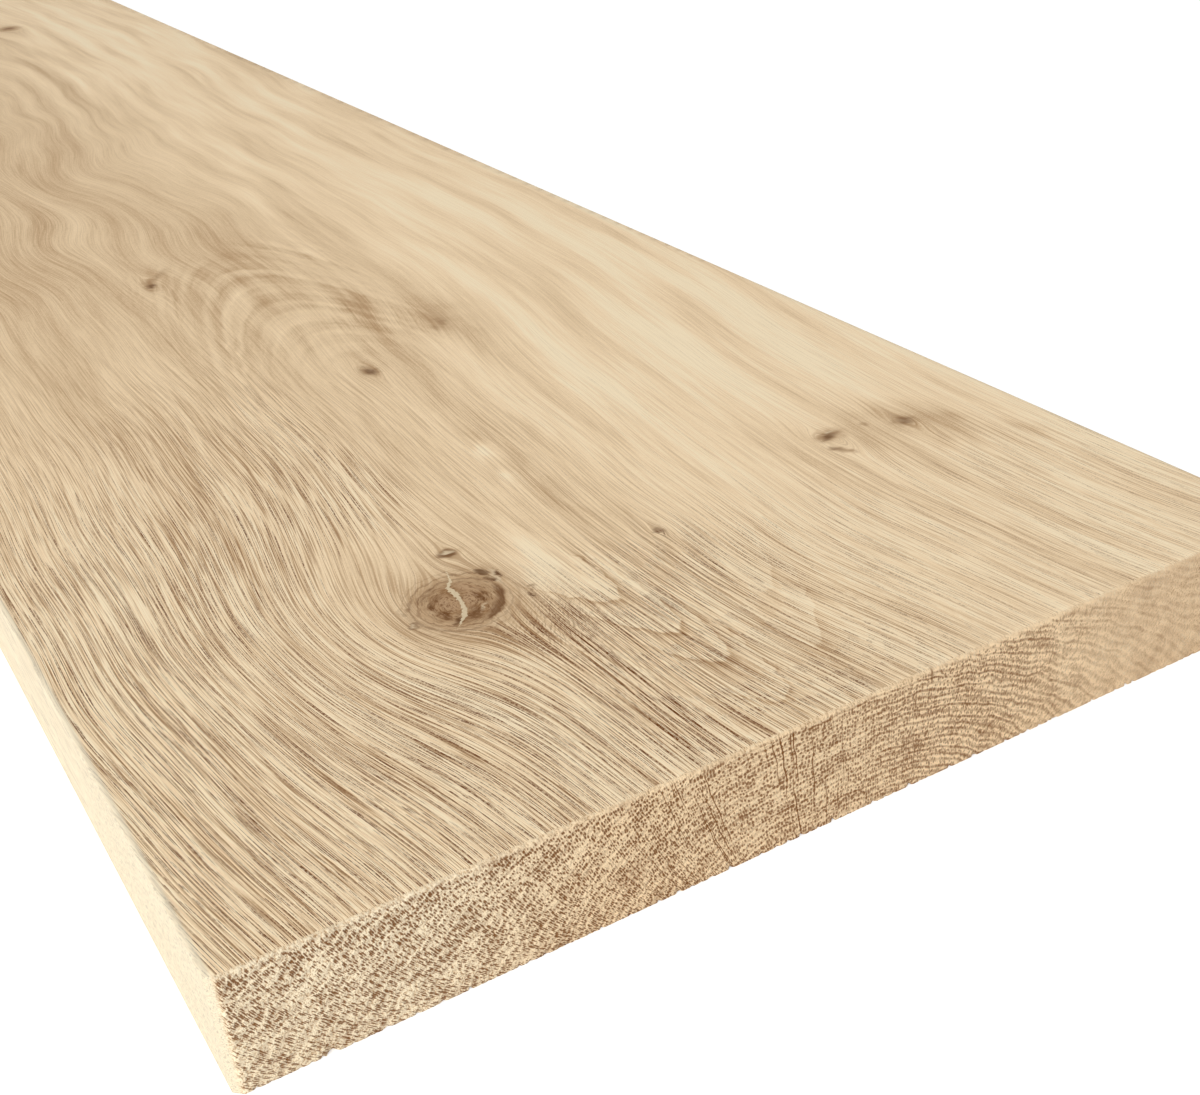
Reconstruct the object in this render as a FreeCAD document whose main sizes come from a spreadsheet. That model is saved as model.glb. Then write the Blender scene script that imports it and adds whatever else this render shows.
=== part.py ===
import FreeCAD, Part

import os

import Sketcher

# Window sill board: one solid oak plank, lying flat with its show face up.
# X runs along the board, Y across it from the front edge (-Y) to the back edge, Z is up.
# The origin is at the middle of the underside, and all sizes are in millimetres.

boardSizes = {
    "board_length": 1200.0,  # a stock length, longer than the stretch that the camera sees
    "board_width": 250.0,
    "board_thickness": 26.0,
    "corner_cut": 1.8,  # flat planed on each of the four upright corners
    "top_easing": 0.8,  # small round where the show face meets the edges and the ends
}

originTolerance = 1e-6


def writeSizeSheet(doc):
    sheet = doc.addObject("Spreadsheet::Sheet", "Sizes")
    for row, (alias, value) in enumerate(boardSizes.items(), start=1):
        sheet.set(f"A{row}", alias.replace("_", " "))
        sheet.set(f"B{row}", str(value))
        sheet.setAlias(f"B{row}", alias)
    doc.recompute()
    return sheet


def originPlane(body, role):
    return next(plane for plane in body.Origin.OriginFeatures if plane.Role == role)


def drawBoardPlan(body):
    """Rectangle of the board seen from above, centred on the origin."""
    sketch = body.newObject("Sketcher::SketchObject", "BoardPlan")
    sketch.AttachmentSupport = [(originPlane(body, "XY_Plane"), "")]
    sketch.MapMode = "FlatFace"

    halfLength = boardSizes["board_length"] / 2
    halfWidth = boardSizes["board_width"] / 2
    corners = [
        FreeCAD.Vector(-halfLength, -halfWidth, 0),
        FreeCAD.Vector(halfLength, -halfWidth, 0),
        FreeCAD.Vector(halfLength, halfWidth, 0),
        FreeCAD.Vector(-halfLength, halfWidth, 0),
    ]
    front, visibleEnd, back, farEnd = range(4)
    for index, corner in enumerate(corners):
        sketch.addGeometry(Part.LineSegment(corner, corners[(index + 1) % 4]))
    for index in range(4):
        sketch.addConstraint(Sketcher.Constraint("Coincident", index, 2, (index + 1) % 4, 1))
    sketch.addConstraint(Sketcher.Constraint("Horizontal", front))
    sketch.addConstraint(Sketcher.Constraint("Horizontal", back))
    sketch.addConstraint(Sketcher.Constraint("Vertical", visibleEnd))
    sketch.addConstraint(Sketcher.Constraint("Vertical", farEnd))
    # opposite corners lie the same way off the origin, so the board stays centred at any size
    sketch.addConstraint(Sketcher.Constraint("Symmetric", front, 1, back, 1, -1, 1))

    lengthRule = sketch.addConstraint(Sketcher.Constraint("DistanceX", front, 1, front, 2, 2 * halfLength))
    widthRule = sketch.addConstraint(Sketcher.Constraint("DistanceY", visibleEnd, 1, visibleEnd, 2, 2 * halfWidth))
    sketch.setExpression(f"Constraints[{lengthRule}]", "Sizes.board_length")
    sketch.setExpression(f"Constraints[{widthRule}]", "Sizes.board_width")
    return sketch


def uprightEdges(shape):
    """The four upright corners of the sawn blank."""
    names = []
    for number, edge in enumerate(shape.Edges, start=1):
        start, end = edge.Vertexes[0].Point, edge.Vertexes[-1].Point
        if abs(start.z - end.z) > originTolerance:
            names.append(f"Edge{number}")
    return names


def topEdges(shape):
    """Every arris round the show face, the short ones at the cut corners included."""
    showHeight = shape.BoundBox.ZMax
    names = []
    for number, edge in enumerate(shape.Edges, start=1):
        if all(abs(vertex.Z - showHeight) < originTolerance for vertex in edge.Vertexes):
            names.append(f"Edge{number}")
    return names


def buildSillBoard(doc):
    body = doc.addObject("PartDesign::Body", "SillBoard")
    body.Label = "sill_board"
    plan = drawBoardPlan(body)

    blank = body.newObject("PartDesign::Pad", "SawnBlank")
    blank.Profile = plan
    blank.setExpression("Length", "Sizes.board_thickness")
    doc.recompute()

    corners = body.newObject("PartDesign::Chamfer", "CutCorners")
    corners.Base = (blank, uprightEdges(blank.Shape))
    corners.setExpression("Size", "Sizes.corner_cut")
    doc.recompute()

    arris = body.newObject("PartDesign::Fillet", "EasedShowFace")
    arris.Base = (corners, topEdges(corners.Shape))
    arris.setExpression("Radius", "Sizes.top_easing")
    doc.recompute()

    body.Placement = FreeCAD.Placement()
    return body


def checkDocument(doc, subParts):
    for item in doc.Objects:
        if "Invalid" in item.State or "Error" in item.State:
            raise RuntimeError(f"{item.Name} failed: {item.State}")
    for subPart in subParts:
        if subPart.Shape.isNull() or not subPart.Shape.isValid():
            raise RuntimeError(f"{subPart.Label} has no valid shape")


doc = FreeCAD.newDocument("window_sill_board")
writeSizeSheet(doc)
subParts = [buildSillBoard(doc)]
doc.recompute()
checkDocument(doc, subParts)

os.makedirs("parts", exist_ok=True)
for subPart in subParts:
    subPart.Shape.exportStep(f"parts/{subPart.Label}.step")
    box = subPart.Shape.BoundBox
    print(f"{subPart.Label}: {box.XLength:.1f} x {box.YLength:.1f} x {box.ZLength:.1f} mm")
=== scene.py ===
import bpy
import bmesh
import math
import numpy as np
from types import SimpleNamespace
from mathutils import Euler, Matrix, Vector
from mathutils.geometry import delaunay_2d_cdt


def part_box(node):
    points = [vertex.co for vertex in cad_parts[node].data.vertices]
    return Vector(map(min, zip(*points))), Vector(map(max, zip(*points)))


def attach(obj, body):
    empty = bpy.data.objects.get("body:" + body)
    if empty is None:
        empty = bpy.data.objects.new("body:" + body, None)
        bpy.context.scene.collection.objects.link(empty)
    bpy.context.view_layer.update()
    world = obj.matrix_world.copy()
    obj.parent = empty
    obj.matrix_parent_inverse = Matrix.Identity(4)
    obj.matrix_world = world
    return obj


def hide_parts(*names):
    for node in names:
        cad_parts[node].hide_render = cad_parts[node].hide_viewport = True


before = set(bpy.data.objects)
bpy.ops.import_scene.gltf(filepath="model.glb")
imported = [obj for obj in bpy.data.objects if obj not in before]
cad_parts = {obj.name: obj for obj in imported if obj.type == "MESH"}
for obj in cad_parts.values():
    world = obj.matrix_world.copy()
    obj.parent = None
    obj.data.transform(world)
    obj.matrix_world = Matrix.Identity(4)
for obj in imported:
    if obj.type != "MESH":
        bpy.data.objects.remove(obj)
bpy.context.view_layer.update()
print("frame loaded")

# Places on the board are written in millimetres as a joiner would mark them out: along is the distance from
# the end that the camera sees, across the distance from the front edge, and height is above the underside.
millimetre = 0.001
boardNode = "sill_board"
boardLow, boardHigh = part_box(boardNode)
boardLength = (boardHigh.x - boardLow.x) / millimetre
boardWidth = (boardHigh.y - boardLow.y) / millimetre
boardThickness = (boardHigh.z - boardLow.z) / millimetre

# Node trees get there from a place in the row frame by this product and then this sum.
perMetre = 1 / millimetre
turnedAxes = (-perMetre, perMetre, perMetre)
boardCorner = (boardHigh.x * perMetre, -boardLow.y * perMetre, -boardLow.z * perMetre)


def toRow(along, across, height):
    # from the joiner's millimetres to the row frame's metres
    return np.stack([
        boardHigh.x - along * millimetre,
        boardLow.y + across * millimetre,
        boardLow.z + height * millimetre,
    ], axis=-1)


def tone(red, green, blue):
    # a screen colour from 0 to 255 as the linear colour that the shaders take
    def linear(channel):
        share = channel / 255
        return share / 12.92 if share <= 0.04045 else ((share + 0.055) / 1.055) ** 2.4
    return (linear(red), linear(green), linear(blue), 1.0)


# Node trees are written as sums. A Wire holds one output socket, and arithmetic on it adds Math nodes.

class Wire:
    def __init__(self, socket):
        self.socket = socket

    def node(self, kind, settings=None, values=None, out=0):
        return addNode(self.socket.id_data, kind, settings, values, out)

    def math(self, operation, *others, clamp=False):
        values = dict(enumerate((self, *others)))
        return self.node("ShaderNodeMath", {"operation": operation, "use_clamp": clamp}, values)

    def __add__(self, other):
        return self.math("ADD", other)

    __radd__ = __add__

    def __sub__(self, other):
        return self.math("SUBTRACT", other)

    def __rsub__(self, other):
        return self.node("ShaderNodeMath", {"operation": "SUBTRACT"}, {0: other, 1: self})

    def __mul__(self, other):
        return self.math("MULTIPLY", other)

    __rmul__ = __mul__

    def __truediv__(self, other):
        return self.math("DIVIDE", other)

    def __rtruediv__(self, other):
        return self.node("ShaderNodeMath", {"operation": "DIVIDE"}, {0: other, 1: self})

    def __abs__(self):
        return self.math("ABSOLUTE")

    def lift(self, low, high, top=1.0):
        # soft step: 0 below low and top above high, or the other way round where low is the larger
        down = high < low
        return self.node("ShaderNodeMapRange", {"interpolation_type": "SMOOTHSTEP"}, {
            "Value": self,
            "From Min": min(low, high),
            "From Max": max(low, high),
            "To Min": top if down else 0.0,
            "To Max": 0.0 if down else top,
        })

    def clamped(self):
        return self.math("ADD", 0.0, clamp=True)


def addNode(tree, kind, settings=None, values=None, out=0):
    node = tree.nodes.new(kind)
    for name, setting in (settings or {}).items():
        if name == "stops":
            setStops(node.color_ramp, setting)
        else:
            setattr(node, name, setting)
    for key, value in (values or {}).items():
        target = node.inputs[key]
        if isinstance(value, Wire):
            tree.links.new(value.socket, target)
        else:
            target.default_value = value
    return Wire(node.outputs[out])


def setStops(ramp, stops):
    while len(ramp.elements) < len(stops):
        ramp.elements.new(1.0)
    for element, (place, colour) in zip(ramp.elements, stops):
        element.position = place
        element.color = colour


def firstWire(*parts):
    return next(part for part in parts if isinstance(part, Wire))


def split(vector):
    # the three parts of a vector wire
    return [vector.node("ShaderNodeSeparateXYZ", None, {0: vector}, out) for out in range(3)]


def joined(x, y, z):
    return firstWire(x, y, z).node("ShaderNodeCombineXYZ", None, {0: x, 1: y, 2: z})


def vectorMath(operation, *values, scale=None, out=0):
    inputs = dict(enumerate(values))
    if scale is not None:
        inputs["Scale"] = scale
    return firstWire(*values).node("ShaderNodeVectorMath", {"operation": operation}, inputs, out)


def lengthOf(vector):
    return vectorMath("LENGTH", vector, out=1)


def noise(place, scale, detail=2.0, roughness=0.5):
    return place.node(
        "ShaderNodeTexNoise",
        {"noise_dimensions": "3D"},
        {"Vector": place, "Scale": scale, "Detail": detail, "Roughness": roughness},
    )


def cells(place, randomness, out):
    # output 0 is the distance to the middle of the nearest cell, and output 2 is where that middle lies
    return place.node(
        "ShaderNodeTexVoronoi",
        {"voronoi_dimensions": "3D", "feature": "F1"},
        {"Vector": place, "Scale": 1.0, "Randomness": randomness},
        out,
    )


def ramped(value, stops):
    return value.node("ShaderNodeValToRGB", {"stops": stops}, {0: value})


def blended(amount, first, second, mode="MIX"):
    # Mix node on colours; its colour sockets are the seventh, eighth and the third output
    return firstWire(amount, first, second).node(
        "ShaderNodeMix",
        {"data_type": "RGBA", "blend_type": mode, "clamp_factor": True},
        {0: amount, 6: first, 7: second},
        2,
    )


# How the tree grew. These rules give the fibre and the growth ring that any point of the board lies on.

growth = {
    "ringPitch": 1.5,
    "heartDepth": 30.0,      # how far the heart of the trunk lies below the show face at the crest
    "crestAlong": 200.0,
    "crestReach": 232.0,
    "heartSink": 28.0,       # how much deeper the heart lies far from the crest
    "heartAcross": 119.0,
    "heartDrift": 14.0,      # how far the heart drifts to the front along the board
    "crownFlat": 18.0,       # half width of the flat crown of the rings
    "narrowFrom": 30.0,      # the rings get narrower from this radius on
    "narrowing": 0.011,
    "rayLevel": 28.0,        # millimetres above the heart at which the rays are told apart
    "frontSpread": 150.0,    # the rings are drawn in this far from the heart, on either side
    "backSpread": 120.0,
    "endDrift": 9.0,         # how far the fibres drift to the front as they leave the visible end
    "frontDrift": 8.0,       # and how much further at the front edge
    "knotSwing": 8.0,        # how far they swing round the main knot on its front side
    "middleDrift": 5.0,
    "wholeDrift": 5.0,       # drift of every fibre beyond the main knot, and of the back ones on top of it
    "backDrift": 20.0,
    "farSway": 9.0,
    "slowCurl": 3.6,         # curly figure of the far half
    "quickCurl": 1.1,
    "branchRoot": 131.0,     # where across the board the branches meet the heart
    "branchRun": 43.0,       # and how far below the show face
}

# Middle of the main knot on the show face
mainKnot = {
    "along": 82.0,
    "across": 85.5,
}

# Fibres part around each of these: along, across, radius, reach along the grain, push
grainKnots = [
    (mainKnot["along"], mainKnot["across"], 13, 1.5, 0.62),
    (243, 152, 7, 2.4, 0.25),
    (95, 197, 4.5, 2.5, 1),
    (93, 218, 4, 2.5, 0.8),
    (220, 123, 3, 2.5, 0.8),
    (345, 96, 5, 3, 0.8),
    (83, 137, 1.6, 2.5, 0.9),
    (104, 93.5, 2.2, 1.8, 0.6),
    (655, 60, 6, 2.6, 0.9),
    (905, 172, 9, 2.4, 0.9),
]


def hump(value, centre, spread):
    return np.exp(-(((value - centre) / spread) ** 2))


def softStep(value, start, stop):
    share = np.clip((value - start) / (stop - start), 0, 1)
    return share * share * (3 - 2 * share)


def fibreAcross(along, across, height):
    # constant along a fibre: where the fibre would lie if the grain were straight
    leaving = 1 - softStep(along, -50, 108 - 40 * softStep(across, 80, 140))
    drift = growth["endDrift"] + growth["frontDrift"] * (1 - softStep(across, 60, 105))
    shift = drift * leaving
    frontSide = softStep(across, 15, 62) * (1 - softStep(across, 60, 104))
    shift = shift - growth["knotSwing"] * hump(along, 86, 44) * frontSide
    middle = softStep(across, 100, 125) * (1 - softStep(across, 150, 190))
    shift = shift + growth["middleDrift"] * leaving * middle
    drift = growth["backDrift"] * softStep(across, 60, 190) + growth["wholeDrift"]
    shift = shift + drift * softStep(along, 60, 340)
    shift = shift + growth["farSway"] * np.sin((along - 560) / 150) * softStep(along, 430, 620)

    # the curly figure fades towards the far end, and leaves the back third nearly straight
    curl = softStep(along, 310, 430) * (1 - 0.6 * softStep(along, 760, 900))
    curl = curl * (1 - 0.75 * softStep(across, 115, 180))
    slow = np.sin(along / 33 + 1.9 * np.sin(across / 29 + along / 140))
    quick = np.sin(along / 15 - across / 13 + 2.1 * np.sin(along / 64 + across / 37))
    shift = shift + curl * (growth["slowCurl"] * slow + growth["quickCurl"] * quick)

    fibre = across - shift
    fibre = fibre + 0.5 * np.sin(along / 23 + across / 31) + 0.3 * np.sin(along / 11 - across / 17)
    for knotAlong, knotAcross, radius, reach, push in grainKnots:
        offAlong = (along - knotAlong) / reach
        offAcross = across - leaned(knotAcross, height)
        distance2 = offAlong ** 2 + offAcross ** 2
        parting = push * radius ** 2 * offAcross / (distance2 + 0.55 * radius ** 2)
        fibre = fibre - parting * np.exp(-distance2 / (4.5 * radius) ** 2)
    return fibre


def leaned(knotAcross, height):
    # a knot is a branch, so it leans towards the heart of the trunk as it goes down through the board
    below = boardThickness - height
    return knotAcross + below * (growth["branchRoot"] - knotAcross) / growth["branchRun"]


def crownSide(off):
    # distance from the heart's line, flattened at the crown and drawn in far from it
    crown = growth["crownFlat"]
    plain = np.sqrt(off ** 2 + crown ** 2) - crown
    spread = np.where(off < 0, growth["frontSpread"], growth["backSpread"])
    return plain / (1 + plain / spread)


def ringField(along, fibre, height):
    # which growth ring a point lies in, which ray runs through it, and how far it is from the heart
    fromCrest = (along - growth["crestAlong"]) / growth["crestReach"]
    sink = growth["heartSink"] * (1 - np.exp(-(fromCrest ** 4)))
    rise = height - (boardThickness - growth["heartDepth"] - sink)
    off = fibre - growth["heartAcross"] + growth["heartDrift"] * softStep(along, 60, 340)
    radius = np.hypot(crownSide(off), rise)
    radius += 0.35 * np.sin(along / 15 - fibre / 9) + 0.3 * np.sin(along / 41 + fibre / 21)
    # the outer rings of an old tree are narrower
    rings = (radius + growth["narrowing"] * (radius - growth["narrowFrom"]) ** 2) / growth["ringPitch"]
    rings = rings + 0.3 * np.sin(rings * 2.3) + 0.25 * np.sin(rings * 0.9)
    return rings, rayLabel(off, rise), radius


def rayLabel(off, rise):
    # rays cross the rings at a right angle: follow the ray to one height, and name it by its place there
    level = growth["rayLevel"]
    steps = np.linspace(0.4, 260, 2600)
    side = crownSide(-steps)
    lean = side * np.gradient(side, steps)
    climb = np.concatenate([[0], np.cumsum(np.diff(steps) / lean[1:])])
    strides = np.diff(steps) * level / np.hypot(lean, level)[1:]
    wayRound = np.concatenate([[steps[0]], np.cumsum(strides) + steps[0]])
    here = np.interp(np.abs(off), steps, climb)
    there = np.interp(here - np.log(np.maximum(rise, 1) / level), climb, wayRound)
    # new rays start between the old ones as they spread
    return np.where(np.abs(off) < 0.5, off, np.sign(off) * (there + there ** 2 / 240))


# Soft brown (positive) and cream (negative) patches of the show face:
# along, across, reach along, reach across, turn in degrees, strength
patches = [
    (88, 107.0, 13, 5.2, 3, -0.68),
    (70, 113.5, 7, 2.2, -8, -0.4),
    (145.5, 125.5, 5, 2.6, 0, -0.8),
    (131, 122, 3.5, 1.8, 0, -0.6),
    (118, 124, 4, 8, 0, 0.12),
    (138, 131, 12, 3, 12, 0.12),
    (158, 128, 8, 6, 0, 0.12),
    (45, 120, 46, 22, 0, 0.1),
    (165, 50, 60, 9, 2, 0.16),
    (77, 219, 8, 3, 0, 0.45),
    (84, 227, 10, 3.4, 0, 0.56),
    (69, 239, 7, 2.5, 0, 0.34),
    (93, 218, 13, 8, 0, 0.86),
    (96, 199, 13, 8, 0, 0.46),
    (106, 219, 12, 3.6, -6, 0.3),
    (84, 186, 30, 3.6, -5, 0.3),
    (246, 158, 22, 9, 3, 0.5),
    (262, 150, 34, 13, 3, 0.26),
    (275, 143, 22, 7, 8, 0.26),
    (235, 140, 26, 9, 0, 0.1),
    (222, 124, 10, 4, 0, 0.35),
    (348, 97, 14, 4, 14, 0.3),
    (316, 151.6, 12, 4, 0, 0.18),
    (82, 85.5, 17, 15, 0, 0.3),
    (60, 97, 18, 7, 0, 0.18),
    (64, 88, 9, 9, 0, 0.26),
    (36, 100, 30, 9, 0, 0.12),
    (97, 128, 22, 4, 0, 0.2),
    (112, 127, 12, 3, 0, 0.12),
    (20, 20, 60, 18, 12, 0.12),
    (215, 158, 16, 4, 8, 0.2),
    (140, 52, 30, 7, -4, 0.16),
    (155, 43, 12, 3, 0, 0.2),
    (200, 62, 60, 10, 0, 0.12),
    (655, 60, 26, 12, 0, 0.3),
    (905, 172, 30, 13, 0, 0.34),
]


stainDepth = 9.0      # how far the patches reach down into the board


def ovalReaches(offAlong, offAcross, reachAlong, reachAcross, turn):
    # how far off the middle of a turned oval, lengthwise and crosswise, in its own reaches
    angle = math.radians(turn)
    lengthwise = (offAlong * math.cos(angle) + offAcross * math.sin(angle)) / reachAlong
    crosswise = (offAcross * math.cos(angle) - offAlong * math.sin(angle)) / reachAcross
    return lengthwise, crosswise


def stains(along, across, height):
    # the patches, with uneven outlines
    unevenAlong = along + 2.5 * np.sin(across / 3.1 + along / 17) + 1.2 * np.sin(across / 1.3 - along / 9)
    unevenAcross = across + 0.9 * np.sin(along / 5.3) + 0.6 * np.sin(along / 2.1 + across / 4)
    total = 0
    for centreAlong, centreAcross, reachAlong, reachAcross, turn, strength in patches:
        offAlong = unevenAlong - centreAlong
        offAcross = unevenAcross - centreAcross
        lengthwise, crosswise = ovalReaches(offAlong, offAcross, reachAlong, reachAcross, turn)
        total = total + strength * np.exp(-lengthwise ** 2 - crosswise ** 2)
    return total * softStep(height, boardThickness - stainDepth, boardThickness)


knotColours = {
    "body": tone(184, 150, 112),
    "heart": tone(150, 112, 74),
    "rim": tone(112, 74, 40),
    "hole": tone(90, 55, 24),
    "rose": tone(196, 162, 126),
    "pale": tone(222, 200, 166),
    "filler": tone(226, 207, 172),
}

# Knots and marks of the show face, painted over each other in this order:
# along, across, reach along, reach across, turn in degrees, softness, strength, colour
marks = [
    (81, 86.5, 15.5, 13.5, 20, 0.4, 0.45, "body"),
    (82, 85.2, 11.8, 11.4, 25, 0.16, 0.5, "body"),
    (81.6, 85.6, 8.6, 6.8, 12, 0.16, 0.72, "heart"),
    (83.2, 83.2, 3.6, 2, -10, 0.5, 0.6, "rose"),
    (82.4, 88.3, 3, 1.6, 25, 0.5, 0.6, "rose"),
    (87.5, 89.6, 3.6, 1.5, -25, 0.6, 0.6, "rose"),
    (79.6, 80.4, 2.3, 0.8, -8, 0.4, 0.75, "rim"),
    (83.8, 79.6, 1.9, 0.6, 15, 0.4, 0.8, "rim"),
    (75.4, 81.6, 1.3, 0.8, 40, 0.4, 0.8, "hole"),
    (76.2, 86.2, 3, 1.3, 28, 0.45, 0.75, "rim"),
    (82, 90, 2.3, 0.7, -5, 0.4, 0.8, "rim"),
    (83, 91.6, 2.6, 0.5, -8, 0.4, 0.5, "rim"),
    (86.5, 81.5, 0.9, 3.6, -38, 0.5, 0.45, "rim"),
    (89.4, 80.3, 0.8, 4.6, -34, 0.5, 0.4, "rim"),
    (77.4, 89, 1.6, 0.35, 48, 0.4, 0.9, "pale"),
    (89.2, 96, 5.4, 2.6, -8, 0.5, 0.4, "body"),
    (87.2, 95.8, 1.8, 0.9, -28, 0.3, 0.75, "hole"),
    (91.2, 95.3, 2, 1.1, -22, 0.3, 0.75, "hole"),
    (87.5, 97.2, 3.7, 0.45, 4, 0.4, 0.8, "pale"),
    (88.6, 98.1, 2.1, 0.36, 0, 0.3, 0.75, "hole"),
    (104, 93, 2.5, 3, 12, 0.4, 0.5, "body"),
    (103.9, 92.9, 1.9, 2.3, 12, 0.3, 0.75, "rim"),
    (104.3, 93.3, 0.5, 1.7, 24, 0.4, 0.9, "pale"),
    (79.3, 73.1, 1.5, 0.95, 0, 0.3, 0.65, "rim"),
    (79.5, 73, 0.8, 0.4, 0, 0.4, 0.8, "pale"),
    (85, 73, 1, 0.6, 20, 0.5, 0.45, "rim"),
    (86.5, 75, 1.2, 0.5, 40, 0.5, 0.45, "rim"),
    (75.6, 99.7, 1.1, 0.35, 8, 0.3, 0.7, "hole"),
    (77.2, 101.1, 1.1, 0.3, 25, 0.3, 0.6, "rim"),
    (78.9, 101.3, 0.6, 0.6, 0, 0.4, 0.55, "rim"),
    (83, 137, 1.7, 1.1, -10, 0.4, 0.6, "rim"),
    (220, 123.2, 4.6, 2.4, -6, 0.5, 0.6, "heart"),
    (219, 123.4, 2.2, 1.3, -6, 0.5, 0.6, "hole"),
    (345, 95, 5.5, 1.9, 12, 0.6, 0.6, "heart"),
    (344, 94.8, 2.4, 1.1, 12, 0.5, 0.6, "hole"),
    (354, 101, 6, 1.3, 34, 0.6, 0.4, "heart"),
    (89.5, 195.6, 3.6, 1.2, -30, 0.5, 0.6, "heart"),
    (90.8, 195, 1.6, 0.6, -30, 0.6, 0.4, "hole"),
    (98.3, 198.3, 3.4, 4.6, -12, 0.4, 0.5, "body"),
    (98.4, 198, 2.2, 3.4, -14, 0.35, 0.6, "heart"),
    (97.6, 197.6, 0.9, 2.6, -20, 0.5, 0.5, "hole"),
    (99.6, 199, 0.4, 1.9, -24, 0.4, 0.8, "pale"),
    (98, 208.9, 1.3, 0.9, 0, 0.5, 0.5, "heart"),
    (93, 218, 3.2, 3, 25, 0.5, 0.6, "heart"),
    (92.6, 218.4, 1.7, 1.6, 0, 0.6, 0.42, "hole"),
    (246, 158, 9, 3.6, 6, 0.8, 0.5, "body"),
    (243, 157.2, 3.2, 1.5, 10, 0.6, 0.5, "heart"),
    (238, 154, 2.6, 1.2, 0, 0.6, 0.4, "heart"),
    (275, 143, 7, 2.4, 8, 0.8, 0.25, "body"),
    (655, 60, 7, 4.5, 5, 0.3, 0.7, "body"),
    (655, 60, 3.6, 2.6, 0, 0.3, 0.7, "heart"),
    (905, 172, 9.5, 7, 0, 0.25, 0.75, "body"),
    (905, 172, 5, 3.8, 15, 0.3, 0.7, "heart"),
    (906, 173, 1.8, 1.2, 15, 0.4, 0.7, "hole"),
]


def wobble(along, across, reach, start):
    # smooth uneven values between about -1 and 1
    total = 0
    for step in range(4):
        angle = start * 1.7 + step * 2.4
        wave = (along * math.cos(angle) + across * math.sin(angle)) / reach
        total = total + np.sin(wave * (1 + 0.37 * step) + 5.1 * step + start)
    return total / 2.6


branchMarks = 3       # the first marks are the main branch itself, and go right through the board with it
branchDepth = 60.0    # over which they get smaller


def paintMarks(along, across, height):
    # colour of the marks, already weighed by how far they cover the wood, and that cover
    unevenAlong = along + 0.5 * wobble(along, across, 1.1, 1) + 0.3 * wobble(along, across, 0.45, 5)
    unevenAcross = across + 0.4 * wobble(along, across, 1.1, 3) + 0.25 * wobble(along, across, 0.45, 7)
    shade = 1 + 0.22 * wobble(along, across, 0.9, 9)
    below = boardThickness - height
    colour = np.zeros((len(along), 3))
    cover = np.zeros(len(along))
    for number, mark in enumerate(marks):
        markAlong, markAcross, reachAlong, reachAcross, turn, soft, strength, name = mark
        branch = number < branchMarks
        offAlong = unevenAlong - markAlong
        offAcross = unevenAcross - (leaned(markAcross, height) if branch else markAcross)
        lengthwise, crosswise = ovalReaches(offAlong, offAcross, reachAlong, reachAcross, turn)
        deep = below / (branchDepth if branch else 3.0 + reachAcross * 2)
        reach = np.sqrt(lengthwise ** 2 + crosswise ** 2 + deep ** 2)
        mask = np.clip((1 - softStep(reach, 1 - soft, 1 + soft)) * strength * shade, 0, 1)
        colour = colour * (1 - mask)[:, None] + np.array(knotColours[name][:3]) * mask[:, None]
        cover = cover * (1 - mask) + mask
    return colour, cover


# The board's skin: walls round its outline, with the show face and the underside triangulated inside it.

board = {
    "cornerCut": 1.8,
    "topEasing": 0.8,
    "lowerEasing": 0.12,
    "endStep": 0.52,         # mesh step across the sawn end that the camera sees
    "farStep": 2.2,
    "wallStep": 0.66,
    "nearStep": 1.5,         # mesh step along the board beside the visible end
    "coarseStep": 7.5,
    "underStep": 11.0,
    "fineUntil": 90.0,       # the steps start to grow this far from the visible end
}

# Finer stretches of the show face's net round knots and marks: from and to along, from and to across, step
fineNets = [
    (66, 108, 70, 104, 0.45),
    (84, 104, 190, 223, 0.7),
    (80, 86, 134.5, 139.5, 0.5),
    (212, 228, 118, 129, 0.9),
    (226, 268, 146, 166, 1.5),
    (262, 290, 137, 149, 1.7),
    (336, 362, 91, 106, 1.3),
    (645, 666, 53, 67, 1.6),
    (892, 918, 162, 182, 2.0),
]


def evenSteps(start, stop, step):
    count = max(1, round(abs(stop - start) / step))
    return np.linspace(start, stop, count + 1)


def growingSteps(stop, near, far, fineUntil, growthRate):
    # positions from 0 to stop whose step grows with the distance from the visible end
    places = [0.0]
    while places[-1] < stop:
        step = np.clip(near + (places[-1] - fineUntil) * growthRate, near, far)
        places.append(places[-1] + step)
    places = np.array(places)
    return places * stop / places[-1]


def outlinePoints():
    # the board's outline seen from above, as along and across, with its four cut corners
    cut = board["cornerCut"]
    length, width = boardLength, boardWidth
    straight, fineUntil = length - 2 * cut, board["fineUntil"]
    sideSteps = growingSteps(straight, board["nearStep"], board["coarseStep"], fineUntil, 0.02) + cut
    backSteps = growingSteps(straight, 3.0, 12.0, fineUntil, 0.03) + cut
    visibleEnd = [(0.0, across) for across in evenSteps(cut, width - cut, board["endStep"])]
    backCorner = [(step, width - cut + step) for step in evenSteps(0, cut, 0.6)[1:-1]]
    backEdge = [(along, width) for along in backSteps]
    farCorner = [(length - cut + step, width - step) for step in evenSteps(0, cut, 0.9)[1:-1]]
    farEnd = [(length, across) for across in evenSteps(width - cut, cut, board["farStep"])]
    otherCorner = [(length - step, cut - step) for step in evenSteps(0, cut, 0.9)[1:-1]]
    frontEdge = [(along, 0.0) for along in sideSteps[::-1]]
    nearCorner = [(cut - step, step) for step in evenSteps(0, cut, 0.45)[1:-1]]
    stretches = (visibleEnd, backCorner, backEdge, farCorner, farEnd, otherCorner, frontEdge, nearCorner)
    return np.array([point for stretch in stretches for point in stretch])


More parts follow.
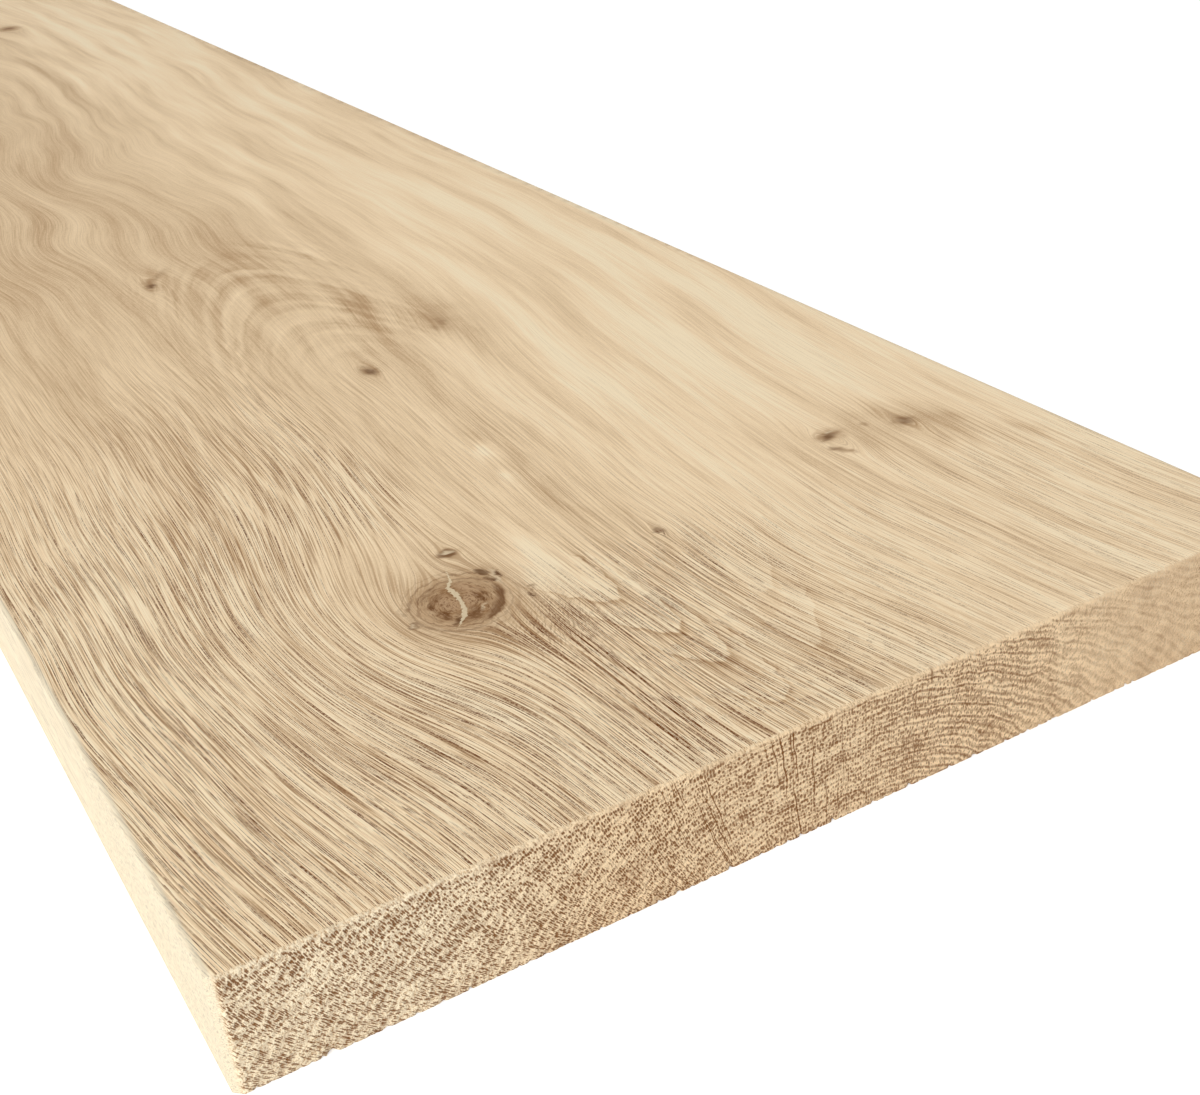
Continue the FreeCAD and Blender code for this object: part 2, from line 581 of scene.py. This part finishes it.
def wallHeights():
    # levels of the walls' net, close together at both arrises
    low = [0.0, 0.3, 0.75]
    high = [boardThickness - board["topEasing"], boardThickness - 0.35, boardThickness]
    middle = evenSteps(low[-1], high[0], board["wallStep"])[1:-1]
    return np.array(low + list(middle) + high)


def faceGrid(rows, stepAcross, margin):
    # points in rows across the board, with a step of their own in each row
    points = []
    for along in rows:
        columns = evenSteps(margin, boardWidth - margin, stepAcross(along))
        points += [(along, across) for across in columns]
    return points


def showFacePoints():
    margin = board["topEasing"]
    rows = growingSteps(boardLength - 2 * margin, 1.55, board["coarseStep"], 110, 0.016) + margin
    rowGap = np.append(np.diff(rows), board["coarseStep"])

    def stepAcross(along):
        # grows with the step between rows
        gap = rowGap[min(len(rowGap) - 1, int(np.searchsorted(rows, along)))]
        return max(1.0, 0.55 * gap)

    points = faceGrid(rows, stepAcross, margin)
    for left, right, front, back, step in fineNets:
        points = [p for p in points if not (left < p[0] < right and front < p[1] < back)]
        for along in evenSteps(left, right, step):
            points += [(along, across) for across in evenSteps(front, back, step)]
    return np.array(points)


def undersidePoints():
    margin = 4.0
    rows = growingSteps(boardLength - 2 * margin, 5.0, board["underStep"], 60, 0.03) + margin
    return np.array(faceGrid(rows, lambda along: 6.0, margin))


def triangulated(outline, inner):
    # triangles between the outline and the inner points, as numbers of points: outline first, then inner
    points = [tuple(p) for p in outline] + [tuple(p) for p in inner]
    edges = [(i, (i + 1) % len(outline)) for i in range(len(outline))]
    _, _, faces, origins, _, _ = delaunay_2d_cdt(points, edges, [], 1, 1e-6)
    return [[origins[corner][0] for corner in face] for face in faces]


def boardSkin():
    outline = outlinePoints()
    heights = wallHeights()
    around, levels = len(outline), len(heights)
    spots = np.concatenate([np.column_stack([outline, np.full(around, height)]) for height in heights])
    faces = []
    for level in range(levels - 1):
        for here in range(around):
            there = (here + 1) % around
            low, high = level * around, (level + 1) * around
            faces.append((low + here, low + there, high + there, high + here))
    showFace = (levels - 1, showFacePoints(), boardThickness)
    underside = (0, undersidePoints(), 0.0)
    for level, inner, height in (showFace, underside):
        first = len(spots)
        spots = np.concatenate([spots, np.column_stack([inner, np.full(len(inner), height)])])
        for face in triangulated(outline, inner):
            faces.append(tuple(level * around + i if i < around else first + i - around for i in face))
    return spots, faces


def eased(spots, radius):
    # rounds the upper and lower arrises: each spot near an arris moves on to its round
    along, across, height = spots.T
    keepAlong = np.clip(along, radius, boardLength - radius)
    keepAcross = np.clip(across, radius, boardWidth - radius)
    keepHeight = np.clip(height, radius, boardThickness - radius)
    core = np.column_stack([keepAlong, keepAcross, keepHeight])
    off = spots - core
    nearArris = (np.abs(off[:, 2]) > 1e-6) & (np.hypot(off[:, 0], off[:, 1]) > 1e-6)
    reach = np.linalg.norm(off, axis=1)
    pulled = core + off * (radius / np.maximum(reach, 1e-9))[:, None]
    return np.where(nearArris[:, None], pulled, spots)


def grainZones(along, across, height):
    # shares of three kinds of grain on the show face: scaly marks, crisp pores and dense brown lines
    scaly = 0.6 * hump(along, 34, 28) * hump(across, 100, 8)
    scaly = scaly + 0.95 * hump(along, 61, 13) * hump(across, 97, 11)
    scaly = scaly * (1 - hump(np.hypot(along - 82, across - 86), 0, 12))
    scaly = scaly * softStep(height, boardThickness - 1, boardThickness)
    crisp = (1 - 0.5 * softStep(across, 120, 180)) * (1 - 0.9 * softStep(along, 100, 320))
    crisp = crisp * (1 - 0.65 * softStep(across, 92, 104) * softStep(along, 55, 105))
    crisp = crisp * (1 - 0.5 * hump(np.hypot(along - 84, across - 82), 0, 24))
    crisp = crisp * (1 - 0.7 * hump(np.hypot(along - 109, across - 84), 0, 22))
    dense = hump(across, 101, 8) * (1 - softStep(along, 50, 82))
    dense = dense + 0.4 * hump(across, 62, 22) * hump(along, 30, 40)
    return np.column_stack([scaly, crisp, dense])


def storeAttribute(mesh, name, values):
    attribute = mesh.attributes.new(name, "FLOAT_VECTOR", "POINT")
    attribute.data.foreach_set("vector", values.astype(np.float32).ravel())


def storeGrain(mesh, along, across, height):
    # what the material and the relief read at each point of the skin
    fibre = fibreAcross(along, across, height)
    rings, turn, radius = ringField(along, fibre, height)
    endGrain = 1 - softStep(np.minimum(along, boardLength - along), 0.15, 0.8)
    markColour, markCover = paintMarks(along, across, height)
    storeAttribute(mesh, "growth", np.column_stack([rings, turn, fibre]))
    storeAttribute(mesh, "zones", grainZones(along, across, height))
    storeAttribute(mesh, "cut", np.column_stack([endGrain, stains(along, across, height), radius]))
    storeAttribute(mesh, "markColour", markColour)
    storeAttribute(mesh, "markCover", np.column_stack([markCover, markCover, markCover]))


def buildBoard():
    spots, faces = boardSkin()
    lower = spots[:, 2] < boardThickness / 2
    spots = np.where(lower[:, None], eased(spots, board["lowerEasing"]), eased(spots, board["topEasing"]))
    mesh = bpy.data.meshes.new("oakBoard")
    mesh.from_pydata(toRow(*spots.T).tolist(), [], [list(face) for face in faces])
    net = bmesh.new()
    net.from_mesh(mesh)
    bmesh.ops.recalc_face_normals(net, faces=net.faces)
    net.to_mesh(mesh)
    net.free()
    mesh.shade_smooth()
    storeGrain(mesh, *spots.T)
    piece = bpy.data.objects.new("oak_board", mesh)
    bpy.context.scene.collection.objects.link(piece)
    print("skin:", len(spots), "points,", sum(len(face) - 2 for face in faces), "triangles")
    return piece


oakBoard = buildBoard()


# Relief that is cut into the skin: saw marks and chips on the ends, and the main knot's hollow.

relief = {
    "Saw roughness": 0.10,   # millimetres
    "Chip depth": 0.6,
    "Chip length": 1.5,
    "Notch across": 17.6,    # the one larger chip in the lower arris of the visible end
    "Knot hollow": 0.16,
    "Seed": 4.0,
}


def reliefTree():
    tree = bpy.data.node_groups.new("boardRelief", "GeometryNodeTree")
    tree.interface.new_socket("Geometry", in_out="INPUT", socket_type="NodeSocketGeometry")
    for name in relief:
        tree.interface.new_socket(name, in_out="INPUT", socket_type="NodeSocketFloat")
    tree.interface.new_socket("Material", in_out="INPUT", socket_type="NodeSocketMaterial")
    tree.interface.new_socket("Geometry", in_out="OUTPUT", socket_type="NodeSocketGeometry")
    start = tree.nodes.new("NodeGroupInput")
    inputs = {socket.name: Wire(socket) for socket in start.outputs if socket.name}
    skin = inputs["Geometry"]
    position = skin.node("GeometryNodeInputPosition")
    place = vectorMath("MULTIPLY_ADD", position, turnedAxes, boardCorner)
    along, across, height = split(place)
    cut = skin.node("GeometryNodeInputNamedAttribute", {"data_type": "FLOAT_VECTOR"}, {"Name": "cut"})
    endGrain = split(cut)[0]
    seeded = joined(along, across + inputs["Seed"] * 50, height)

    saw = noise(seeded, 1.1, 3.0, 0.6) * inputs["Saw roughness"] * endGrain

    chipSpot = joined(along / 4, (across + inputs["Seed"] * 9) / inputs["Chip length"], height / 4)
    chipNoise = noise(chipSpot, 1.0, 3.0, 0.65)
    lowerArris = height.lift(1.7, 0.0)
    notch = abs(across - inputs["Notch across"]).lift(1.3, 0.3) * height.lift(2.2, 0.4)
    chips = (chipNoise.lift(0.5, 0.72) * lowerArris + notch).clamped() * inputs["Chip depth"] * endGrain

    offAlong = along - mainKnot["along"]
    offAcross = across - mainKnot["across"]
    fromKnot = (offAlong * offAlong + offAcross * offAcross).math("SQRT")
    rim = fromKnot.lift(13.0, 10.5) * fromKnot.lift(7.5, 10.0)
    hollow = (rim * 0.6 + fromKnot.lift(9.5, 7.0) * noise(seeded, 0.45, 3.0)) * inputs["Knot hollow"]
    hollow = hollow * height.lift(boardThickness - 0.4, boardThickness - 0.1)

    normal = skin.node("GeometryNodeInputNormal")
    sunk = vectorMath("SCALE", normal, scale=(saw + hollow) * -millimetre)
    inwards = (along - boardLength / 2).math("SIGN") * millimetre
    chipPull = joined(chips * inwards, 0.0, chips * height.lift(1.4, 0.0) * (0.8 * millimetre))
    moved = vectorMath("ADD", sunk, chipPull)
    result = skin.node("GeometryNodeSetPosition", None, {"Geometry": skin, "Offset": moved})
    result = result.node("GeometryNodeRealizeInstances", None, {"Geometry": result})
    painted = {"Geometry": result, "Material": inputs["Material"]}
    result = result.node("GeometryNodeSetMaterial", None, painted)
    end = tree.nodes.new("NodeGroupOutput")
    tree.links.new(result.socket, end.inputs["Geometry"])
    return tree


def applyTree(piece, tree, values):
    # runs a Geometry Nodes tree once and keeps its result as the piece's plain mesh
    modifier = piece.modifiers.new(tree.name, "NODES")
    modifier.node_group = tree
    identifiers = {item.name: item.identifier for item in tree.interface.items_tree if item.in_out == "INPUT"}
    for name, value in values.items():
        modifier[identifiers[name]] = value
    graph = bpy.context.evaluated_depsgraph_get()
    shaped = bpy.data.meshes.new_from_object(piece.evaluated_get(graph), depsgraph=graph)
    piece.modifiers.remove(modifier)
    before = piece.data
    piece.data = shaped
    bpy.data.meshes.remove(before)


# The oak itself. Sizes are millimetres of wood.

oak = {
    "cream": tone(255, 235, 199),
    "pale": tone(251, 224, 185),
    "middle": tone(232, 204, 165),
    "dark": tone(190, 155, 115),
    "vessel": tone(106, 56, 8),
    # painted highlight: the washed-out cream of the brightly lit front side
    "paintedSideLight": tone(221, 211, 187),
    # pale walls of the sawn end, also used as painted highlights on its fine relief
    "sawnWallAndHighlight": tone(255, 238, 206),
    "sawnWarmWallAndHighlight": tone(250, 221, 180),
    "sawnVessel": tone(118, 72, 28),
    "ray": tone(124, 76, 36),
    "roughness": 0.62,
    "shine": 0.06,
    "bumpDepth": 0.0002,     # metres
    "bumpStrength": 0.7,
    "columnWidth": 0.66,     # one column of pores between two rays on the end
    "rowHeight": 1.34,       # one row of pores along the rings on the end
}

black = (0.0, 0.0, 0.0, 1.0)


def readAttribute(start, name, out=1):
    return start.node("ShaderNodeAttribute", {"attribute_name": name}, None, out)


def fibreNoise(wood, width, length, detail=2.0, roughness=0.5, shift=0.0):
    # noise drawn in fibre space, long along the grain, so that it follows the fibres
    spot = joined(wood.fibre / width + shift, wood.height / width, wood.along / length)
    return noise(spot, 1.0, detail, roughness)


def woodFields(tree):
    # the wires that every part of the material reads
    start = Wire(tree.nodes.new("ShaderNodeTexCoord").outputs["Object"])
    wood = SimpleNamespace()
    wood.place = start.node("ShaderNodeMapping", None, {
        "Vector": start,
        "Location": boardCorner,
        "Scale": turnedAxes,
    })
    wood.along, wood.across, wood.height = split(wood.place)
    wood.rings, wood.turn, wood.fibre = split(readAttribute(start, "growth"))
    wood.scaly, wood.crisp, wood.dense = split(readAttribute(start, "zones"))
    wood.endGrain, wood.stain, wood.radius = split(readAttribute(start, "cut"))
    wood.markColour = readAttribute(start, "markColour")
    wood.markCover = readAttribute(start, "markCover", 2)

    wood.hair = fibreNoise(wood, 0.27, 23.0, 1.0, 0.6, 3.0)
    wood.wander = fibreNoise(wood, 2.6, 19.0, 1.0, 0.5, 13.0) - 0.5
    wood.grit = noise(wood.place, 2.1, 2.0, 0.65)
    wood.patchy = noise(wood.place, 0.22, 1.0, 0.5)

    # on the ends the pores stand in columns between the rays and in rows along the rings
    swing = fibreNoise(wood, 7.0, 60.0, 1.0, 0.5, 5.0) - 0.5
    wood.column = wood.turn / oak["columnWidth"] + swing * 1.6
    wood.row = wood.radius / oak["rowHeight"] + swing * 1.6 + (wood.grit - 0.5) * 0.3
    wood.rowWave = (wood.row * math.tau).math("SINE") * 0.5 + 0.5
    wood.rays = rayLines(wood)
    return wood


def rayLines(wood):
    # rays: thin sheets that run out from the heart of the trunk
    waver = (wood.grit - 0.5) * 0.1 + (wood.patchy - 0.5) * 0.7
    spot = joined(wood.column / 2.7 + waver, wood.radius / 26, wood.along / 11)
    off = vectorMath("SUBTRACT", spot, cells(spot, 1.0, 2))
    reach = lengthOf(vectorMath("MULTIPLY", off, (9.0, 1.6, 2.0)))
    clear = wood.across.lift(50, 100, 0.7) * wood.across.lift(134, 116) + 0.3
    return reach.lift(1.0, 0.4) * clear


def pores(wood, stepAcross, stepAlong, reaches, size, shift):
    # one long pore in each cell of the fibre space, and the pale wood beside it
    spot = joined(
        (wood.fibre + wood.wander * 0.5) / stepAcross + shift,
        wood.height / stepAcross + shift * 0.37,
        wood.along / stepAlong + shift * 0.71,
    )
    off = vectorMath("SUBTRACT", spot, cells(spot, 0.92, 2))
    reach = lengthOf(vectorMath("MULTIPLY", off, tuple(1 / reach for reach in reaches))) / size
    return reach.lift(1.05, 0.72), reach.lift(2.1, 1.1)


# Brown and pale bands of the ring tips, by decimetres behind each crest: place and grey, 0.5 is plain wood
nearTipBands = [
    (0.0, 0.5), (0.05, 0.46), (0.086, 0.2), (0.094, 0.7), (0.19, 0.52), (0.24, 0.46), (0.27, 0.06),
    (0.28, 0.8), (0.37, 0.54), (0.39, 0.46), (0.42, 0.0), (0.43, 0.86), (0.54, 0.62), (0.58, 0.5),
    (0.612, 0.1), (0.62, 0.8), (0.8, 0.6), (1.0, 0.5),
]
sideTipBands = [
    (0.0, 0.5), (0.1, 0.46), (0.2, 0.16), (0.21, 0.74), (0.32, 0.46), (0.44, 0.24), (0.45, 0.64), (0.6, 0.5),
]


def ringTips(wood, crest, front, back, bands):
    # ring tips on the show face, whose arms bend away by front and by back to either side
    off = wood.across + (wood.grit - 0.5) * 0.7 + (wood.patchy - 0.5) * 3 - crest
    bend = off * off * (off.lift(-1.0, 1.0, back - front) + front)
    reach = (wood.along - bend + wood.wander * 4) / 100
    profile = ramped(reach, [(place, (grey, grey, grey, 1.0)) for place, grey in bands]) - 0.5
    return profile * abs(off).lift(13.0, 4.0)


def ringArches(wood):
    # nested soft arches farther along, round the second crown of the rings
    off = wood.across + wood.wander * 4 - 123
    reach = wood.along + off * off * 0.07
    arches = noise(joined(reach / 11, wood.across / 45, 0.0), 1.0, 2.0) - 0.5
    return arches * wood.along.lift(215, 265) * wood.along.lift(378, 345) * abs(off).lift(44, 24)


def planedFace(wood):
    # plain planed wood, from dark (0) to cream (1), with its pores
    along, across, crisp = wood.along, wood.across, wood.crisp
    broad = fibreNoise(wood, 8.0, 150.0, 2.0, 0.6) - 0.5
    streak = fibreNoise(wood, 1.0, 40.0, 2.0, 0.66, 7.0) - 0.5
    thread = wood.hair.lift(0.36, 0.64) - 0.5

    ringCount = wood.rings + wood.wander * 0.6
    ringPhase = ringCount - ringCount.math("FLOOR")
    early = ringPhase.lift(0.0, 0.1) * ringPhase.lift(0.75, 0.3)
    size = (0.74 + early * 0.3) * (0.6 + crisp * 0.4)
    longPores, longEdge = pores(wood, 0.66, 40.0, (0.18, 0.5, 0.54), size, 0.0)
    shortPores, shortEdge = pores(wood, 0.43, 15.0, (0.25, 0.42, 0.5), size * 0.9, 31.0)
    lines = wood.hair.lift(0.46, 0.35) * (0.42 + wood.dense * 0.5)
    vessels = (longPores + shortPores * 0.55 + lines).clamped() * (0.04 + crisp * 0.96)
    vessels = vessels * (wood.grit.lift(0.36, 0.58, 0.9) + 0.42)

    showFace = wood.height.lift(boardThickness - 3, boardThickness - 0.6)
    nearTips = ringTips(wood, 119.8 - along * along * 0.0016, 0.2, 0.42, nearTipBands)
    sideTips = ringTips(wood, 131.5 + along * 0.2, 0.5, 0.3, sideTipBands)

    level = 0.46 + broad * (0.9 + across.lift(120, 170, 0.7))
    level = level + streak * (along.lift(620, 240, 0.35) + 0.22)
    level = level + thread * (0.05 + crisp * 0.66) + (wood.grit - 0.5) * 0.48
    level = level + (longEdge + shortEdge * 0.6) * crisp * 0.4
    level = level + across.lift(110, 205, 0.2) - along.lift(90, 420, 0.14)
    level = level + across.lift(120, 200, 0.2) * along.lift(60, 160)
    level = level - wood.stain * 0.75 + ringArches(wood) * 0.9
    level = level + (nearTips * 1.05 + sideTips * 0.75) * showFace
    shades = [(0.0, oak["dark"]), (0.4, oak["middle"]), (0.72, oak["pale"]), (1.0, oak["cream"])]
    colour = ramped(level, shades)
    return blended(vessels * (1 - wood.endGrain), colour, oak["vessel"])


# Single marks of the sawn end: a short check below the show face, and a branch cut through
endMarks = {
    "checkAcross": 148.5,
    "checkDepth": 3.6,
    "branch": (0.0, 79.0, 9.4),
    "branchReaches": (4.0, 4.6, 3.0),
    "branchLean": 35.0,      # degrees
}


def sawnEnd(wood, planed):
    # the sawn end: cut pores between pale walls, darker rows along the rings, and the rays, with painted
    # highlights and painted shade on its fine relief
    across, height, grit = wood.across, wood.height, wood.grit
    ringZone = noise(joined(wood.column / 16, wood.row / 2.6, 0.0), 1.0, 2.0, 0.6)
    cell = cells(joined(wood.column, wood.row * 1.6, wood.along * 0.11), 0.55, 0)
    cutPores = (cell + (grit - 0.5) * 0.35 + (ringZone - 0.5) * 0.4).lift(0.55, 0.3)
    arcs = across.lift(84, 102, 0.5) + across.lift(124, 142, 0.5)
    ringLines = (wood.rowWave + (grit - 0.5) * 0.8).lift(0.3, 1.0)
    ringLines = ringLines * (0.2 + arcs * 0.24) * (1.9 - ringZone * 1.8)
    # the marks fade towards the back; they fade just below the show face too, which paints a highlight along
    # the eased upper arris
    markFadeAndArrisHighlight = across.lift(205, 160, 0.72) + 0.28
    markFadeAndArrisHighlight = markFadeAndArrisHighlight * (height.lift(boardThickness - 0.3, boardThickness - 1.3, 0.7) + 0.3)

    # pale walls between the pores, with painted light on the fine sawn relief: where the grit raises the
    # bump, the wall colour paints a highlight, and where it sinks, the ray colour paints shade in the pits
    wallsAndHighlight = blended(across.lift(30, 80), oak["sawnWallAndHighlight"], oak["sawnWarmWallAndHighlight"])
    colour = blended(grit.lift(0.38, 0.54), planed, wallsAndHighlight)
    shade = grit.lift(0.53, 0.38, 0.24) * (markFadeAndArrisHighlight + 0.1) + (0.52 - ringZone) * 0.45
    shade = shade + across.lift(165, 215, 0.22) + ringLines * markFadeAndArrisHighlight
    colour = blended(shade.clamped(), colour, oak["ray"])
    colour = blended(cutPores * markFadeAndArrisHighlight * (1 - arcs * 0.2) * 0.9, colour, oak["sawnVessel"])

    checkFoot = boardThickness - endMarks["checkDepth"]
    check = abs(across - endMarks["checkAcross"]).lift(0.4, 0.1) * height.lift(checkFoot, checkFoot + 1)
    colour = blended((wood.rays * markFadeAndArrisHighlight * 0.95 + check * 0.7).clamped(), colour, oak["sawnVessel"])

    lean = (math.radians(endMarks["branchLean"]), 0.0, 0.0)
    branch = ovalSpace(wood.place, endMarks["branch"], endMarks["branchReaches"], lean)
    stripes = (split(branch)[1] * 28 + wood.patchy * 12).math("SINE").lift(-1.0, 1.0, 0.24) + 0.14
    inside = (lengthOf(branch) + (grit - 0.5) * 1.6).lift(1.2, 0.6)
    return blended(inside * stripes, colour, oak["ray"])


def scaleMarks(wood):
    # short scale-like marks between the end and the main knot, which turn across the grain towards the knot
    bend = (wood.along - 45).math("MAXIMUM", 0.0)
    spot = joined((wood.across - bend * bend * 0.014) / 0.5, wood.along / 2.2, 0.0)
    return noise(spot, 1.0, 2.0).lift(0.47, 0.64, 0.4) * wood.scaly


def ovalSpace(spot, centre, reaches, turns):
    # the place measured in an oval's own reaches: 0 at its middle and 1 long on its outline
    return spot.node("ShaderNodeMapping", {"vector_type": "TEXTURE"}, {
        "Vector": spot,
        "Location": centre,
        "Rotation": turns,
        "Scale": reaches,
    })


def paintMainKnot(wood, colour):
    # the main branch's own growth rings are broken strokes round its middle
    sway = noise(wood.place, 0.5, 1.0) - 0.5
    leanShare = (growth["branchRoot"] - mainKnot["across"]) / growth["branchRun"]
    lean = joined(sway * 2.2, (wood.height - boardThickness) * leanShare + wood.wander * 3.2, 0.0)
    place = vectorMath("ADD", wood.place, lean)
    turned = (0.0, 0.0, math.radians(20))
    knot = ovalSpace(place, (82.2, 85.6, boardThickness), (10.8, 9.8, branchDepth), turned)
    reach = lengthOf(knot)
    outwards = vectorMath("SCALE", vectorMath("NORMALIZE", knot), scale=3.6)
    strokeSpot = vectorMath("ADD", outwards, joined(0.0, 0.0, reach * 20))
    strokes = noise(strokeSpot, 1.0, 2.0, 0.7) + (wood.grit - 0.5) * 0.3
    inside = reach.lift(1.3, 0.9)
    colour = blended(strokes.lift(0.5, 0.66, 0.42) * inside, colour, knotColours["rim"])
    colour = blended(strokes.lift(0.5, 0.66, 0.5) * reach.lift(0.95, 0.55), colour, knotColours["rim"])
    colour = blended(strokes.lift(0.5, 0.32, 0.45) * inside, colour, knotColours["rose"])
    thinRings = (reach * 34 + (wood.grit - 0.5) * 3).math("SINE").lift(0.2, 1.0, 0.4)
    colour = blended(thinRings * reach.lift(0.7, 0.95) * reach.lift(1.5, 1.15), colour, knotColours["rim"])

    # dark crescent on the knot's lower left, and a pale collar on the other side
    turned = (0.0, 0.0, math.radians(12))
    rim = lengthOf(ovalSpace(place, (83.5, 84.8, boardThickness), (12.2, 10.6, branchDepth), turned))
    crescent = rim.lift(1.09, 1.0) * rim.lift(0.8, 0.92)
    crescent = crescent * wood.across.lift(86.5, 88.5) * wood.along.lift(85.5, 81.0)
    colour = blended(crescent * 0.8, colour, knotColours["rim"])
    collar = rim.lift(1.26, 1.16) * rim.lift(1.04, 1.12)
    collar = collar * wood.along.lift(90.0, 80.0) * wood.across.lift(80.0, 86.0)
    return blended(collar * 0.2, colour, oak["pale"])


# The filled crack through the main knot: along, across
crackLine = [
    (73.0, 80.6), (76.0, 83.6), (79.0, 85.1), (82.0, 85.8),
    (86.0, 86.4), (89.5, 86.0), (92.0, 87.9), (97.5, 89.4),
]


def fillCrack(wood, colour):
    # the crack's line is a ramp along the board; greys from 0 to 1 stand for 10 mm across
    first, last = crackLine[0][0], crackLine[-1][0]
    lowest, spread = 80, 10
    stops = []
    for along, across in crackLine:
        grey = (across - lowest) / spread
        stops.append(((along - first) / (last - first), (grey, grey, grey, 1.0)))
    share = (wood.along - first) / (last - first)
    middle = ramped(share, stops) * spread + lowest
    waver = (noise(wood.place, 1.1, 1.0) - 0.5) * 1.2 + (wood.grit - 0.5) * 0.4
    width = (0.3 + wood.grit * 0.5) * share.lift(0.0, 0.12) * share.lift(1.0, 0.6) + 0.05
    crack = (abs(wood.across + waver - middle) / width).lift(1.15, 0.75)
    crack = crack * share.lift(-0.02, 0.03) * share.lift(1.02, 0.97)
    crack = crack * wood.height.lift(boardThickness - 2, boardThickness - 1)
    return blended(crack * (0.6 + wood.grit * 0.5), colour, knotColours["filler"])


def grainBump(wood):
    sawn = (wood.grit * 2.2 - wood.rowWave * 0.6) * wood.endGrain
    return sawn.node("ShaderNodeBump", None, {
        "Height": wood.hair * 0.6 + sawn,
        "Distance": oak["bumpDepth"],
        "Strength": oak["bumpStrength"],
    })


def oakMaterial():
    material = bpy.data.materials.new("planed_oak")
    material.use_nodes = True
    tree = material.node_tree
    tree.nodes.clear()
    wood = woodFields(tree)

    planed = planedFace(wood)
    sawn = sawnEnd(wood, planed)
    planed = blended(wood.rays * wood.crisp * 0.1, planed, oak["ray"])
    colour = blended(wood.endGrain, planed, sawn)
    # painted highlight: the front side and the cut corners beside it are blended to a washed-out cream where
    # the lamp falls strongly on them
    colour = blended(wood.across.lift(1.7, 0.8, 0.72), colour, oak["paintedSideLight"])
    colour = blended(scaleMarks(wood), colour, oak["vessel"])
    # the marks' colour is stored already weighed by their cover
    colour = blended(wood.markCover, colour, black)
    colour = blended(1.0, colour, wood.markColour, "ADD")
    colour = paintMainKnot(wood, colour)
    colour = fillCrack(wood, colour)

    shader = tree.nodes.new("ShaderNodeBsdfPrincipled")
    tree.links.new(colour.socket, shader.inputs["Base Color"])
    tree.links.new(grainBump(wood).socket, shader.inputs["Normal"])
    shader.inputs["Roughness"].default_value = oak["roughness"]
    shader.inputs["Specular IOR Level"].default_value = oak["shine"]
    output = tree.nodes.new("ShaderNodeOutputMaterial")
    tree.links.new(shader.outputs[0], output.inputs["Surface"])
    return material


oakFinish = oakMaterial()
applyTree(oakBoard, reliefTree(), {**relief, "Material": oakFinish})
print("board: relief cut,", len(oakBoard.data.polygons), "faces")

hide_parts(boardNode)
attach(oakBoard, "root")


# Studio: pale floor, even sky, one large lamp from the front.

studio = {
    "floorSize": 12.0,
    "floorColour": 0.86,
    "floorLift": 0.5,        # what the camera sees on top of the lit floor, so that it reads as white paper
    "sky": 0.56,
    "lampPower": 70.0,
    "lampSize": 2.0,
    "lampDistance": 3.0,
    "lampHeight": 22.0,      # degrees above the floor
    "lampTurn": -58.0,       # degrees round the board, 0 is the visible end and -90 the front edge
}


def cameraRays(tree):
    paths = tree.nodes.new("ShaderNodeLightPath")
    seen = Wire(paths.outputs["Is Camera Ray"])
    return seen.math("MAXIMUM", Wire(paths.outputs["Is Glossy Ray"]))


def buildFloor():
    half = studio["floorSize"] / 2
    level = boardLow.z
    mesh = bpy.data.meshes.new("studioFloor")
    corners = [(-half, -half, level), (half, -half, level), (half, half, level), (-half, half, level)]
    mesh.from_pydata(corners, [], [(0, 1, 2, 3)])
    floor = bpy.data.objects.new("studio_floor", mesh)
    bpy.context.scene.collection.objects.link(floor)
    material = bpy.data.materials.new("studio_paper")
    material.use_nodes = True
    tree = material.node_tree
    tree.nodes.clear()
    seen = cameraRays(tree)
    grey = studio["floorColour"]
    paper = seen.node("ShaderNodeBsdfDiffuse", None, {"Color": (grey, grey, grey, 1)})
    glow = seen.node("ShaderNodeEmission", None, {"Strength": seen * studio["floorLift"]})
    both = seen.node("ShaderNodeAddShader", None, {0: paper, 1: glow})
    output = tree.nodes.new("ShaderNodeOutputMaterial")
    tree.links.new(both.socket, output.inputs["Surface"])
    mesh.materials.append(material)


def lightStudio():
    world = bpy.data.worlds.new("studio_sky")
    world.use_nodes = True
    tree = world.node_tree
    tree.nodes.clear()
    seen = cameraRays(tree)
    strength = studio["sky"] + seen * (1 - studio["sky"])
    sky = seen.node("ShaderNodeBackground", None, {"Color": (1, 1, 1, 1), "Strength": strength})
    output = tree.nodes.new("ShaderNodeOutputWorld")
    tree.links.new(sky.socket, output.inputs["Surface"])
    bpy.context.scene.world = world

    lamp = bpy.data.lights.new("studio_lamp", "AREA")
    lamp.energy = studio["lampPower"]
    lamp.size = studio["lampSize"]
    lampObject = bpy.data.objects.new("studio_lamp", lamp)
    height = math.radians(studio["lampHeight"])
    turn = math.radians(studio["lampTurn"])
    distance = studio["lampDistance"]
    aim = ((boardLow.x + boardHigh.x * 2) / 3, 0, 0)
    lampObject.location = (
        aim[0] + distance * math.cos(height) * math.cos(turn),
        aim[1] + distance * math.cos(height) * math.sin(turn),
        aim[2] + distance * math.sin(height),
    )
    lampObject.rotation_euler = (math.pi / 2 - height, 0, turn + math.pi / 2)
    bpy.context.scene.collection.objects.link(lampObject)


photoCamera = {
    "sensorWidth": 36.0,
    "lens": 49.537,
    "place": (0.809016, -0.157486, 0.206479),
    "turns": (61.327, 4.683, 59.618),    # degrees
}


def placeCamera():
    view = bpy.data.cameras.new("photo_camera")
    view.sensor_width = photoCamera["sensorWidth"]
    view.lens = photoCamera["lens"]
    camera = bpy.data.objects.new("photo_camera", view)
    camera.location = photoCamera["place"]
    camera.rotation_euler = Euler([math.radians(angle) for angle in photoCamera["turns"]])
    bpy.context.scene.collection.objects.link(camera)
    bpy.context.scene.camera = camera


buildFloor()
lightStudio()
placeCamera()
bpy.context.scene.view_settings.view_transform = "Standard"
print("studio and camera set")
